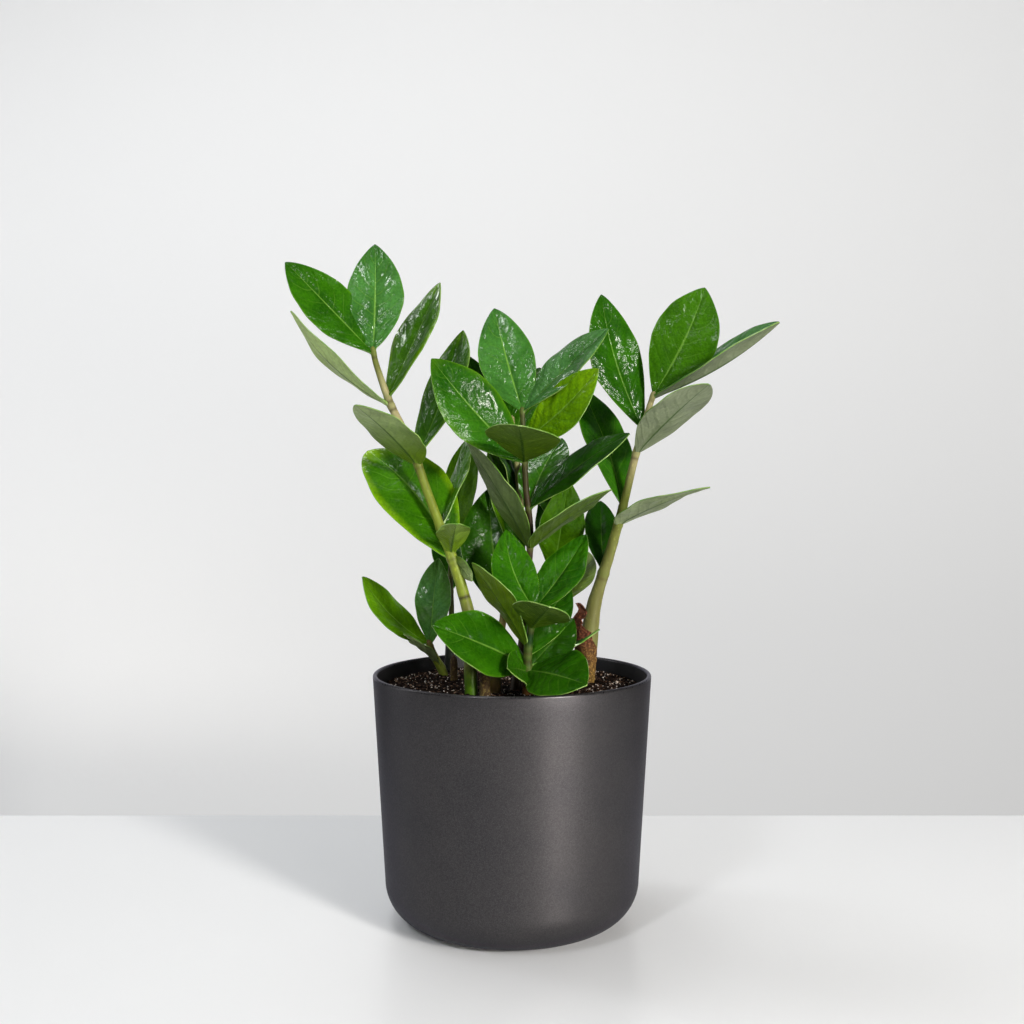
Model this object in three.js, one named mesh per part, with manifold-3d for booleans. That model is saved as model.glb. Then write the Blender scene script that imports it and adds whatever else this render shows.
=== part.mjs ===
// A potted ZZ plant: a round pot filled with soil, and leafy stems that stand in holes in the soil.
// Millimetres, +Z up. The origin is on the pot's axis, at the bottom of its flat base.
// The front of the plant looks along -Y.
import * as THREE from 'three';
import Module from 'manifold-3d';
import { mergeVertices } from 'three/addons/utils/BufferGeometryUtils.js';

const wasm = await Module();
wasm.setup();

// ---------------------------------------------------------------- driving dimensions

const POT = {
  rimRadius: 70,
  footRadius: 64,
  height: 123.4,
  wall: 2.2,
  floor: 4,
  cornerRadius: 20,
  rimRound: 0.9,
  sides: 48,
  outerCornerSteps: 5,
  innerCornerSteps: 3,
};

const SOIL = {
  edgeHeight: 115.5,
  mound: 2.5,
  gap: 0.35,
  rings: 3,
};

const STEM = {
  sides: 8,
  stepsPerSpan: 2,
  holeGap: 0.35,
};

const LEAF = {
  thickness: 0.9,
  stalkRadius: 1.2,
  stalkShare: 0.09,
  tipHalfWidth: 0.35,
  broadestAt: 0.54,
  fullness: 0.78,
  edgeFlattening: 0.45,
  fold: 8,
  arch: 0.02,
  stations: [0, 0.08, 0.22, 0.42, 0.62, 0.83, 1],
  across: [-1, 0, 1],
};

const FINISH = {
  pot: { color: 0x3d3c3e, roughness: 0.45 },
  soil: { color: 0x1c120e, roughness: 0.95 },
  leaf: { color: 0x2f7016, roughness: 0.35 },
  dry: { color: 0x7a4a28, roughness: 0.85 },
};

// Points closer together than this are one point of a solid.
const SAME_POINT = 1e-4;

// Each stem is a smooth line through points [x, y, z, radius], from its foot in the soil to its tip.
// A leaflet grows from the stem at a height, ends at its tip, and is as wide as it says. Its upper side
// looks towards "face". fold, curl, arch, bend, broadestAt and fullness shape the blade and are explained
// at leafPoint.
const FRONDS = {
  frond_left_tall: {
    stem: [
      [-18, -29, 88, 2.2], [-19, -29, 104, 3.4], [-19.5, -29, 115, 3.3], [-20, -28, 130, 3.2],
      [-20, -26, 150, 3.0], [-24, -24, 167, 2.8], [-29, -23, 182, 2.5], [-40, -19, 211, 2.2],
      [-50, -15, 238, 2.1], [-60, -12, 258, 1.9], [-67, -9, 277, 1.5], [-69, -8, 286, 1.2],
    ],
    leaflets: [
      { at: 283, tip: [-111, -14, 327], width: 28, face: [0.4, -0.9, 0.4], arch: -0.03, bend: 0.02 },
      {
        at: 285, tip: [-69, 3, 339], width: 29, face: [-0.1, -1, 0.1],
        fold: 6, bend: 0.015, broadestAt: 0.48,
      },
      {
        at: 261, tip: [-36, -2, 319], width: 31, face: [-0.75, -0.6, 0.3],
        fold: 12, arch: 0.01, bend: 0.03, broadestAt: 0.5,
      },
      { at: 257, tip: [-108, -16, 303], width: 22, face: [0.65, 0.3, 0.65], arch: -0.08 },
      {
        at: 228, tip: [-72, -50, 255], width: 30, face: [0, 0, 1],
        arch: 0.03, broadestAt: 0.46, fullness: 0.62,
      },
      {
        at: 231, tip: [-25, 12, 297], width: 29, face: [-0.65, -0.7, 0.2],
        fold: 10, arch: -0.02, bend: 0.02,
      },
      {
        at: 182, tip: [-73, 2, 235], width: 38, face: [0.3, -0.85, 0.3],
        fold: 12, arch: 0.03, bend: 0.07, broadestAt: 0.56, fullness: 0.6,
      },
      { at: 184, tip: [-26, -46, 200], width: 17, face: [0, 0, 1], fold: 28, arch: 0.05 },
      { at: 197, tip: [-21, 12, 247], width: 17, face: [-0.85, -0.5, 0.2], fold: 12, arch: -0.03 },
      { at: 184, tip: [-19, -30, 172], width: 9, face: [0.5, 0.6, 0.3] },
    ],
  },
  frond_left_short: {
    stem: [
      [-34, 31, 98, 1.6], [-35.5, 31, 112, 2.4], [-37, 31, 119, 2.3], [-41, 28, 127, 2.1],
      [-44, 26, 135, 1.5],
    ],
    leaflets: [
      {
        at: 134, tip: [-78, 20, 170], width: 24, face: [0.7, -0.5, 0.6],
        fold: 10, arch: -0.07, bend: -0.03,
      },
      { at: 133, tip: [-39, 30, 179], width: 20, face: [-0.3, -1, 0], fold: 12, arch: 0.03 },
      { at: 121, tip: [-56, 14, 141], width: 14, face: [0.4, 0.3, 0.8], fold: 14 },
    ],
  },
  frond_back_left: {
    stem: [
      [-33, 48, 92, 1.8], [-33.5, 48, 108, 3.0], [-34, 48, 117, 2.9], [-34, 48, 133, 2.2],
      [-33, 47, 147, 1.5], [-33, 42, 175, 1.3], [-29, 38, 196, 1.2], [-26, 33, 214, 1.0],
    ],
    leaflets: [
      { at: 184, tip: [-21, 24, 244], width: 22, face: [-0.5, -0.8, 0.2], fold: 12 },
      { at: 200, tip: [-58, 72, 222], width: 23, face: [0.3, -0.2, 1], fold: 12 },
      { at: 160, tip: [-38, 84, 194], width: 21, face: [0.2, 0, 1], fold: 12, arch: 0.03 },
      { at: 170, tip: [-13, 76, 197], width: 23, face: [0, 0, 1], fold: 12, arch: 0.05 },
    ],
  },
  frond_back_centre: {
    stem: [
      [-10, -25, 92, 1.8], [-9.5, -26, 108, 3.6], [-9, -26, 118, 3.5], [-7, -22, 135, 2.2],
      [-4, -12, 154, 1.8], [1, 3, 180, 1.7], [4, 10, 205, 1.7], [3, 15, 225, 1.7],
      [1, 18, 241, 1.5], [0, 19, 253, 1.2],
    ],
    leaflets: [
      { at: 154, tip: [-12, 10, 216], width: 33, face: [0.1, -1, 0.2], arch: -0.02, bend: -0.02 },
      { at: 228, tip: [-25, 20, 286], width: 22, face: [0.5, -0.7, 0.3], fold: 10, arch: 0.03 },
      { at: 206, tip: [-7, 22, 240], width: 16, face: [0.8, -0.4, 0.3], fold: 10, arch: 0.03 },
      { at: 180, tip: [-12, 25, 238], width: 22, face: [0.7, -0.6, 0.3], fold: 10, arch: 0.03 },
      { at: 241, tip: [15, 45, 281], width: 24, face: [-0.2, -0.7, 0.6], fold: 10, arch: 0.05 },
      { at: 252, tip: [-5, 48, 301], width: 24, face: [0.1, -0.7, 0.6], fold: 10, arch: 0.05 },
      { at: 205, tip: [25, 55, 230], width: 24, face: [-0.2, -0.2, 1], fold: 12, arch: 0.05 },
    ],
  },
  frond_centre: {
    stem: [
      [1, -20, 92, 1.8], [1.5, -20, 108, 3.0], [2, -19, 118, 2.8], [5, -14, 141, 1.9],
      [8, -12, 173, 1.6], [9, -12, 196, 1.6], [7, -12, 215, 1.5], [6, -12, 235, 1.4],
      [5, -10, 256, 1.2],
    ],
    leaflets: [
      {
        at: 255, tip: [-9, 4, 307], width: 28, face: [0, -1, 0.2],
        arch: 0.03, bend: -0.015, broadestAt: 0.48,
      },
      { at: 254, tip: [47, -18, 294], width: 26, face: [-0.5, -0.6, 0.6], fold: 20, bend: 0.02 },
      { at: 229, tip: [-39, -22, 279], width: 32, face: [0.3, -0.9, 0.3], bend: -0.035 },
      { at: 240, tip: [41, -34, 273], width: 25, face: [-0.4, -0.8, 0.3], bend: 0.06 },
      { at: 230, tip: [3, -62, 245], width: 36, face: [0.12, 0, 1], fold: 12 },
      { at: 206, tip: [26, 20, 242], width: 25, face: [-0.26, -0.68, 0.69], fold: 12, bend: -0.03 },
      { at: 206, tip: [57, -22, 243], width: 24, face: [-0.5, -0.5, 0.7], arch: 0.04 },
      { at: 187, tip: [47, -36, 216], width: 25, face: [-0.3, 0.2, 0.9], fold: 10, broadestAt: 0.42 },
      { at: 187, tip: [-22, -8, 239], width: 23, face: [0.8, 0.5, 0.3], broadestAt: 0.44 },
    ],
  },
  frond_front_short: {
    stem: [
      [8, -27, 92, 1.8], [8, -28, 108, 3.1], [8, -29, 117, 3.0], [7.5, -31, 136, 2.0],
      [9, -33, 149, 1.6], [10, -34, 161, 1.2],
    ],
    leaflets: [
      {
        at: 160, tip: [-3, -18, 196], width: 21, face: [0, -0.9, 0.4],
        arch: 0.03, bend: -0.08, broadestAt: 0.44,
      },
      {
        at: 158, tip: [36, -24, 194], width: 22, face: [-0.5, -0.8, 0.3],
        fold: 10, arch: 0.03, bend: 0.05, broadestAt: 0.48,
      },
      { at: 131, tip: [-37, -50, 153], width: 34, face: [-0.1, -0.7, 0.7], arch: 0.03, broadestAt: 0.5 },
      { at: 140, tip: [-19, -33, 181], width: 25, face: [0.72, 0.45, 0.5] },
      { at: 150, tip: [17, -62, 163], width: 28, face: [0.3, 0, 1], fold: 14 },
      { at: 129, tip: [30, -24, 153], width: 22, face: [-0.2, -0.9, 0.3], fold: 10, arch: 0.04 },
      { at: 129, tip: [34, -60, 127], width: 32, face: [-0.2, -0.6, 0.8], arch: 0.04 },
      { at: 128, tip: [-2, -52, 133.5], width: 18, face: [0.3, -0.8, 0.5], arch: 0.04 },
      { at: 131, tip: [43, -16, 147], width: 12, face: [-0.4, 0.1, 0.8], arch: -0.04 },
      { at: 136, tip: [28, -9, 169], width: 20, face: [-0.1, -0.9, 0.35], arch: 0.04 },
    ],
  },
  frond_right_tall: {
    sheathed: true,
    stem: [
      [36, 9, 88, 2.6], [37.5, 9, 104, 4.0], [38, 9, 117, 4.3], [39, 9, 131, 4.6],
      [40, 9, 143, 4.5], [42, 9, 156, 3.8], [45, 8, 167, 3.1], [51, 6, 187, 2.6],
      [57, 3, 210, 2.1], [62, 0, 232, 1.9], [68, -2, 254, 1.6], [71, -3, 264, 1.3],
    ],
    leaflets: [
      { at: 263, tip: [96, -5, 316], width: 33, face: [-0.2, -1, 0.1], fold: 6, bend: 0.04 },
      {
        at: 262, tip: [128, -28, 296], width: 33, face: [-0.4, -0.3, 0.85],
        fold: 22, curl: 40, arch: -0.06,
      },
      { at: 246, tip: [45, 4, 314], width: 29, face: [0.4, -0.9, 0.2], fold: 10, arch: 0, bend: -0.05 },
      {
        at: 234, tip: [93, -34, 266], width: 33, face: [-0.15, 0.3, 1],
        broadestAt: 0.58, fullness: 0.62,
      },
      { at: 198, tip: [94, -34, 217], width: 28, face: [0, 0, 1], arch: 0.03, broadestAt: 0.36 },
      {
        at: 207, tip: [36, 26, 269], width: 28, face: [0.5, -0.8, 0.2],
        fold: 18, arch: 0, bend: 0.045,
      },
      {
        at: 173, tip: [48, 44, 209], width: 19, face: [0.2, -0.8, 0.5],
        fold: 10, arch: 0.04, bend: -0.02,
      },
    ],
  },
  frond_back_right: {
    stem: [
      [17, 41, 92, 1.8], [18, 41, 108, 2.8], [19, 40, 117, 2.6], [20, 38, 134, 1.9],
      [21, 35, 156, 1.6], [22, 32, 175, 1.4], [24, 31, 194, 1.3], [27, 30, 208, 1.0],
    ],
    leaflets: [
      { at: 170, tip: [29, 18, 220], width: 24, face: [0.2, -0.9, 0.2], fold: 10, arch: 0.03 },
      { at: 172, tip: [28, 50, 224], width: 25, face: [-0.3, -0.8, 0.4], fold: 10, arch: 0.03 },
      { at: 150, tip: [38, 6, 184], width: 28, face: [0, 0.3, 1], fullness: 0.7 },
      { at: 196, tip: [20, 84, 226], width: 22, face: [0, 0, 1], fold: 10, arch: 0.05 },
    ],
  },
};

// What is left of old stems: short, dry and cut.
const STUBS = {
  dry_stub_left: { stem: [[-29.5, 10, 100, 1.6], [-29.8, 10, 118, 2.0], [-30, 10, 129, 1.8]] },
  dry_stub_front: { stem: [[-12.5, -33, 98, 1.6], [-12.8, -33.5, 116, 2.8], [-13, -33.5, 131, 2.2]] },
};

// Everything that stands in its own hole in the soil.
const STANDING = { ...FRONDS, ...STUBS };

// The sheath's stations are [height, half the angle that it covers, distance from the stem].
const SHEATH = {
  clear: 1.0,
  thickness: 0.8,
  sides: 6,
  facing: -135,
  extraHole: 0.6,
  stations: [[108, 112, 1.0], [122, 112, 1.0], [133, 104, 1.0], [139, 64, 1.5], [147, 30, 4.0], [158, 9, 7]],
};

// ---------------------------------------------------------------- solids and meshes

function solidOf(geometry) {
  const bare = geometry.clone();
  bare.deleteAttribute('normal');
  bare.deleteAttribute('uv');
  const merged = mergeVertices(bare, SAME_POINT);
  return new wasm.Manifold(new wasm.Mesh({
    numProp: 3,
    vertProperties: new Float32Array(merged.attributes.position.array),
    triVerts: new Uint32Array(merged.index.array),
  }));
}

function geometryOf(solid) {
  const mesh = solid.getMesh();
  const geometry = new THREE.BufferGeometry();
  geometry.setAttribute('position', new THREE.BufferAttribute(new Float32Array(mesh.vertProperties), 3));
  geometry.setIndex(new THREE.BufferAttribute(new Uint32Array(mesh.triVerts), 1));
  geometry.computeVertexNormals();
  return geometry;
}

// A closed skin over rings of points that run along a piece. Every ring has as many points, and the first
// and the last one are closed by a fan.
function ringSkin(rings) {
  const positions = [];
  const index = [];
  const sides = rings[0].length;
  rings.forEach((ring) => ring.forEach((p) => positions.push(p.x, p.y, p.z)));
  for (let i = 0; i + 1 < rings.length; i += 1) {
    for (let j = 0; j < sides; j += 1) {
      const a = i * sides + j;
      const b = i * sides + ((j + 1) % sides);
      index.push(a, b, b + sides, a, b + sides, a + sides);
    }
  }
  const last = (rings.length - 1) * sides;
  for (let j = 1; j + 1 < sides; j += 1) {
    index.push(0, j + 1, j);
    index.push(last, last + j, last + j + 1);
  }
  const geometry = new THREE.BufferGeometry();
  geometry.setAttribute('position', new THREE.Float32BufferAttribute(positions, 3));
  geometry.setIndex(index);
  return geometry;
}

// ---------------------------------------------------------------- stems

// Points, directions and radii along a stem, from its foot to its tip.
function stemLine(points) {
  const curve = new THREE.CatmullRomCurve3(points.map(([x, y, z]) => new THREE.Vector3(x, y, z)));
  curve.curveType = 'catmullrom';
  curve.tension = 0.5;
  const spans = points.length - 1;
  const steps = spans * STEM.stepsPerSpan;
  const line = [];
  for (let i = 0; i <= steps; i += 1) {
    const t = i / steps;
    const span = Math.min(Math.floor(t * spans), spans - 1);
    const within = t * spans - span;
    const radius = THREE.MathUtils.lerp(points[span][3], points[span + 1][3], within);
    line.push({ point: curve.getPoint(t), along: curve.getTangent(t), radius });
  }
  return line;
}

// The stem as a tube. "grow" is added to its radius, and "sink" lengthens its foot.
function stemGeometry(points, grow = 0, sink = 0) {
  const line = stemLine(points);
  const rings = line.map(({ point, along, radius }, i) => {
    const side = new THREE.Vector3(0, 1, 0).cross(along).normalize();
    const front = along.clone().cross(side);
    const centre = point.clone().addScaledVector(along, i === 0 ? -sink : 0);
    const ring = [];
    for (let k = 0; k < STEM.sides; k += 1) {
      const angle = (2 * Math.PI * k) / STEM.sides;
      const out = side.clone().multiplyScalar(Math.cos(angle)).addScaledVector(front, Math.sin(angle));
      ring.push(centre.clone().addScaledVector(out, radius + grow));
    }
    return ring;
  });
  return ringSkin(rings);
}

// The middle and the radius of a stem at a height.
function stemAt(points, height) {
  const line = stemLine(points);
  const next = line.findIndex(({ point }) => point.z >= height);
  const low = line[next - 1];
  const high = line[next];
  const share = (height - low.point.z) / (high.point.z - low.point.z);
  return {
    point: low.point.clone().lerp(high.point, share),
    radius: THREE.MathUtils.lerp(low.radius, high.radius, share),
  };
}

// ---------------------------------------------------------------- leaflets

// Half the blade's width, as a share of half its full width, from base (0) to tip (1).
function leafOutline(s, broadestAt, fullness) {
  const power = Math.log(0.5) / Math.log(broadestAt);
  return Math.max(Math.sin(Math.PI * s ** power), 0) ** fullness;
}

// A point of the blade's middle surface. s runs from base to tip and t from one edge (-1) to the other (1).
// fold lifts both halves from the midrib and curl lifts one of them further, in degrees. arch bows the
// midrib towards the upper side and bend bows it sideways, both as shares of the length. broadestAt is where
// the blade is at its full width, and a smaller fullness makes its ends rounder.
function leafPoint(leaf, frame, s, t) {
  const { base, along, side, up, length } = frame;
  const bow = 4 * s * (1 - s);
  const shape = leafOutline(s, leaf.broadestAt ?? LEAF.broadestAt, leaf.fullness ?? LEAF.fullness);
  const outline = (leaf.width / 2) * shape;
  const least = THREE.MathUtils.lerp(LEAF.stalkRadius, LEAF.tipHalfWidth, s);
  const reach = Math.max(outline, least) * Math.abs(t);
  const folded = (leaf.fold ?? LEAF.fold) + (t > 0 ? leaf.curl ?? 0 : 0);
  const lift = THREE.MathUtils.degToRad(folded) * (1 - LEAF.edgeFlattening * Math.abs(t));
  return base.clone()
    .addScaledVector(along, length * s)
    .addScaledVector(up, length * (leaf.arch ?? LEAF.arch) * bow)
    .addScaledVector(side, length * (leaf.bend ?? 0) * bow)
    .addScaledVector(side, Math.sign(t) * reach * Math.cos(lift))
    .addScaledVector(up, reach * Math.sin(lift));
}

function leafFrame(leaf, base) {
  const tip = new THREE.Vector3(...leaf.tip);
  const along = tip.clone().sub(base);
  const length = along.length();
  along.normalize();
  const up = new THREE.Vector3(...leaf.face);
  up.addScaledVector(along, -up.dot(along)).normalize();
  return { base, along, up, side: along.clone().cross(up), length };
}

// The blade as a closed solid: the same net of points on both faces, and a thicker stalk at its base.
function leafGeometry(leaf, base) {
  const frame = leafFrame(leaf, base);
  const rings = LEAF.stations.map((s) => {
    const stalk = Math.max(1 - s / LEAF.stalkShare, 0);
    const half = THREE.MathUtils.lerp(LEAF.thickness / 2, LEAF.stalkRadius, stalk);
    const middle = LEAF.across.map((t) => leafPoint(leaf, frame, s, t));
    const lower = middle.map((p) => p.clone().addScaledVector(frame.up, -half));
    const upper = middle.map((p) => p.clone().addScaledVector(frame.up, half));
    return [...lower, ...upper.reverse()];
  });
  return bladeSkin(rings);
}

// Like ringSkin, with the two faces cut into triangles alike, and both ends closed as flat strips.
function bladeSkin(rings) {
  const positions = [];
  const index = [];
  const count = rings[0].length;
  const width = count / 2;
  rings.forEach((ring) => ring.forEach((p) => positions.push(p.x, p.y, p.z)));
  const quad = (a, b, c, d) => index.push(a, c, b, a, d, c);
  for (let i = 0; i + 1 < rings.length; i += 1) {
    const near = i * count;
    const far = near + count;
    for (let j = 0; j + 1 < width; j += 1) {
      quad(near + j, near + j + 1, far + j + 1, far + j);
      const k = count - 1 - j;
      quad(near + k - 1, near + k, far + k, far + k - 1);
    }
    quad(near + width - 1, near + width, far + width, far + width - 1);
    quad(near + count - 1, near, far, far + count - 1);
  }
  const end = (rings.length - 1) * count;
  for (let j = 0; j + 1 < width; j += 1) {
    const k = count - 1 - j;
    quad(j, k, k - 1, j + 1);
    quad(end + j, end + j + 1, end + k - 1, end + k);
  }
  const geometry = new THREE.BufferGeometry();
  geometry.setAttribute('position', new THREE.Float32BufferAttribute(positions, 3));
  geometry.setIndex(index);
  return geometry;
}

function frondSolid({ stem, leaflets }) {
  let solid = solidOf(stemGeometry(stem));
  for (const leaf of leaflets) {
    solid = solid.add(solidOf(leafGeometry(leaf, stemAt(stem, leaf.at).point)));
  }
  return solid;
}

// ---------------------------------------------------------------- pot and soil

// Points on a quarter circle, from one angle to another, in degrees.
function arcPoints(x, y, radius, from, to, steps) {
  const points = [];
  for (let i = 0; i <= steps; i += 1) {
    const angle = THREE.MathUtils.degToRad(THREE.MathUtils.lerp(from, to, i / steps));
    points.push(new THREE.Vector2(x + radius * Math.cos(angle), y + radius * Math.sin(angle)));
  }
  return points;
}

// The outer radius of the pot's straight side at a height.
function sideRadius(z) {
  const share = (z - POT.cornerRadius) / (POT.height - POT.cornerRadius);
  return THREE.MathUtils.lerp(POT.footRadius, POT.rimRadius, share);
}

// The profile of the pot's inside, from its rim to the middle of its floor, moved inwards by "gap".
function insideProfile(top, gap, steps) {
  const { cornerRadius, footRadius, wall, floor } = POT;
  const radius = cornerRadius - wall - gap;
  const cornerX = footRadius - cornerRadius;
  const cornerZ = cornerRadius + floor - wall;
  return [
    new THREE.Vector2(sideRadius(top) - wall - gap, top),
    ...arcPoints(cornerX, cornerZ, radius, 0, -90, steps),
    new THREE.Vector2(0, cornerZ - radius),
  ];
}

function latheUpright(profile) {
  return new THREE.LatheGeometry(profile, POT.sides).rotateX(Math.PI / 2);
}

function potGeometry() {
  const { cornerRadius, footRadius, rimRadius, rimRound, height, wall } = POT;
  const cornerX = footRadius - cornerRadius;
  return latheUpright([
    new THREE.Vector2(0, 0),
    ...arcPoints(cornerX, cornerRadius, cornerRadius, -90, 0, POT.outerCornerSteps),
    new THREE.Vector2(rimRadius, height - rimRound),
    new THREE.Vector2(rimRadius - rimRound, height),
    new THREE.Vector2(rimRadius - wall + rimRound / 2, height),
    ...insideProfile(height - rimRound, 0, POT.innerCornerSteps),
  ]);
}

// The height of the soil at a distance from the pot's axis.
function soilHeight(radius) {
  const share = Math.min(radius / POT.rimRadius, 1);
  return SOIL.edgeHeight + SOIL.mound * Math.cos((share * Math.PI) / 2);
}

function soilSolid() {
  const wallLine = insideProfile(SOIL.edgeHeight, SOIL.gap, POT.innerCornerSteps).reverse();
  const edge = wallLine.pop().x;
  const profile = [...wallLine];
  for (let i = 0; i <= SOIL.rings; i += 1) {
    const radius = edge * (1 - i / SOIL.rings);
    profile.push(new THREE.Vector2(radius, soilHeight(radius)));
  }
  let solid = solidOf(latheUpright(profile));
  for (const { stem, sheathed } of Object.values(STANDING)) {
    const gap = STEM.holeGap + (sheathed ? SHEATH.clear + SHEATH.thickness + SHEATH.extraHole : 0);
    solid = solid.subtract(solidOf(stemGeometry(stem, gap, STEM.holeGap)));
  }
  return solid;
}

// ---------------------------------------------------------------- dry pieces

// A papery sheath that hugs a stem: an open trough round one side of it, whose tip leaves the stem.
function sheathGeometry(stem) {
  const middle = THREE.MathUtils.degToRad(SHEATH.facing);
  const rings = SHEATH.stations.map(([height, halfAngle, clear]) => {
    const { point, radius } = stemAt(stem, height);
    const at = (share, distance) => {
      const angle = middle + THREE.MathUtils.degToRad(halfAngle) * share;
      return new THREE.Vector3(Math.cos(angle), Math.sin(angle), 0).multiplyScalar(distance).add(point);
    };
    const shares = Array.from({ length: SHEATH.sides + 1 }, (_, k) => (2 * k) / SHEATH.sides - 1);
    const inner = shares.map((share) => at(share, radius + clear));
    const outer = shares.map((share) => at(share, radius + clear + SHEATH.thickness));
    return [...inner, ...outer.reverse()];
  });
  return bladeSkin(rings);
}

// ---------------------------------------------------------------- the assembly

function addMesh(group, name, geometry, finish) {
  const material = new THREE.MeshStandardMaterial({ ...finish, metalness: 0 });
  const mesh = new THREE.Mesh(geometry, material);
  mesh.name = name;
  group.add(mesh);
}

const plant = new THREE.Group();
addMesh(plant, 'pot', potGeometry(), FINISH.pot);
addMesh(plant, 'soil', geometryOf(soilSolid()), FINISH.soil);
for (const [name, frond] of Object.entries(FRONDS)) {
  addMesh(plant, name, geometryOf(frondSolid(frond)), FINISH.leaf);
}
for (const [name, { stem }] of Object.entries(STUBS)) {
  addMesh(plant, name, stemGeometry(stem), FINISH.dry);
}
addMesh(plant, 'sheath_right', sheathGeometry(FRONDS.frond_right_tall.stem), FINISH.dry);

export default plant;
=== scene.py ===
"""A potted ZZ plant: the fine surfaces, colours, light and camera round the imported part."""

import math
import random

import bpy
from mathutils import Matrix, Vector, noise


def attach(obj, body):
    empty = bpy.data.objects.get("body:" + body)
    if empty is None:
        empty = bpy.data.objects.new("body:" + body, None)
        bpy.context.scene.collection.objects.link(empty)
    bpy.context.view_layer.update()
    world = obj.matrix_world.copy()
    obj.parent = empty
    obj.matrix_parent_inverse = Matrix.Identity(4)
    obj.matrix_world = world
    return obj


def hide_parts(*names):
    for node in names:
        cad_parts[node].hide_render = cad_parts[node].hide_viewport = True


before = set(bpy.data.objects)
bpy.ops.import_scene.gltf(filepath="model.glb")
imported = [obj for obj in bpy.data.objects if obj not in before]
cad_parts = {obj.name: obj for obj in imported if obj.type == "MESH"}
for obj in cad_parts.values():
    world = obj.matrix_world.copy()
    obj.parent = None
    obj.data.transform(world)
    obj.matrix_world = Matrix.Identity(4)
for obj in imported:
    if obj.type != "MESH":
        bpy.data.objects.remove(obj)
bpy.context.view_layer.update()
chance = random.Random(7)

MM = 0.001

# ------------------------ sizes, in millimetres

POT = {
    "rim_radius": 70, "foot_radius": 64, "height": 123.4, "wall": 2.2, "floor": 4,
    "corner_radius": 20, "lip": 1.1, "segments": 192,
    "corner_steps": 16, "wall_steps": 12, "lip_steps": 8, "inner_corner_steps": 8,
}

SOIL = {
    "edge_height": 115.5, "mound": 2.5, "depth": 30, "skirt_taper": 0.96, "gap_to_wall": 0.1,
    "rings": 46, "segments": 150, "roughness": 0.7,
}

# The loose bits on the soil, with their half widths. A share of the grains are larger chips of bark.
CRUMBS = {
    "bare_edge": 1.5, "shapes": 5, "tip": 0.4,
    "grains": 6800, "grain_size": (0.28, 0.66), "chip_share": 0.06, "chip_growth": 1.7,
    "pale_bits": 420, "pale_size": (0.21, 0.42), "pale_lift": 0.35,
    "fibres": 60, "fibre_length": (1.0, 2.4), "fibre_thickness": 0.10, "fibre_lift": 0.4,
}

LEAF = {
    "thickness": 0.75, "stalk_thickness": 2.0, "stalk_radius": 1.2, "stalk_share": 0.09,
    "tip_half_width": 0.3, "edge_flattening": 0.45, "edge_thinning": 0.6,
    "rows": 64, "columns": 24, "middle_crowding": 1.35,
    "rib_depth": 0.42, "rib_width": 1.0, "rib_fading": 0.6,
    "vein_pairs": 8, "vein_sweep": 1.9, "vein_curve": 1.3, "vein_depth": 0.05,
    "wave": 0.7, "waves": 1.4, "wave_lag": 1.7, "buckle": 1.2, "ripple": 0.03,
}

STEM = {
    "sides": 20, "row_height": 1.3, "steps_per_span": 24, "bumps": 0.05,
    "joint_swell": 0.13, "joint_height": 1.3, "knee_height": 1.6,
    "ring_drop": 2.4, "ring_height": 0.55, "scar_height": 1.0,
}

# ------------------------ the leafy stems
#
# A stem is a smooth line through points [x, y, z, radius], from its foot in the soil to its tip.
# Its bark changes colour from one named height to the next. Scars are dark rings where an old
# sheath has come off.
#
# A leaflet grows from the stem at a height and ends at its tip. Its upper side looks towards its face,
# and its tone is (yellow, dark, gloss), each from 0 to about 1. Dark is partly the leaflet's own deeper
# green and partly painted shade on leaflets that lie in shadow. Its own row may change what is usual:
# fold is how far its halves lift, in degrees, and curl is more of that on one half. Arch and bend bow
# it up and sideways, by a share of its length. Fullness is the power of its outline, less for a fuller
# one. Pale is the grey of its underside, and on its upper side a painted sheen. Golden turns its rim
# yellow, a painted glow of light shining through the thin edge.

USUAL = {
    "fold": 8, "curl": 0, "arch": 0.02, "bend": 0, "broadest_at": 0.54, "fullness": 0.78,
    "pale": 0, "golden": 0,
}


def leaflet(at, tip, width, face, tone, **own):
    return {**USUAL, "at": at, "tip": tip, "width": width, "face": face, "tone": tone, **own}


FRONDS = {}

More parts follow.
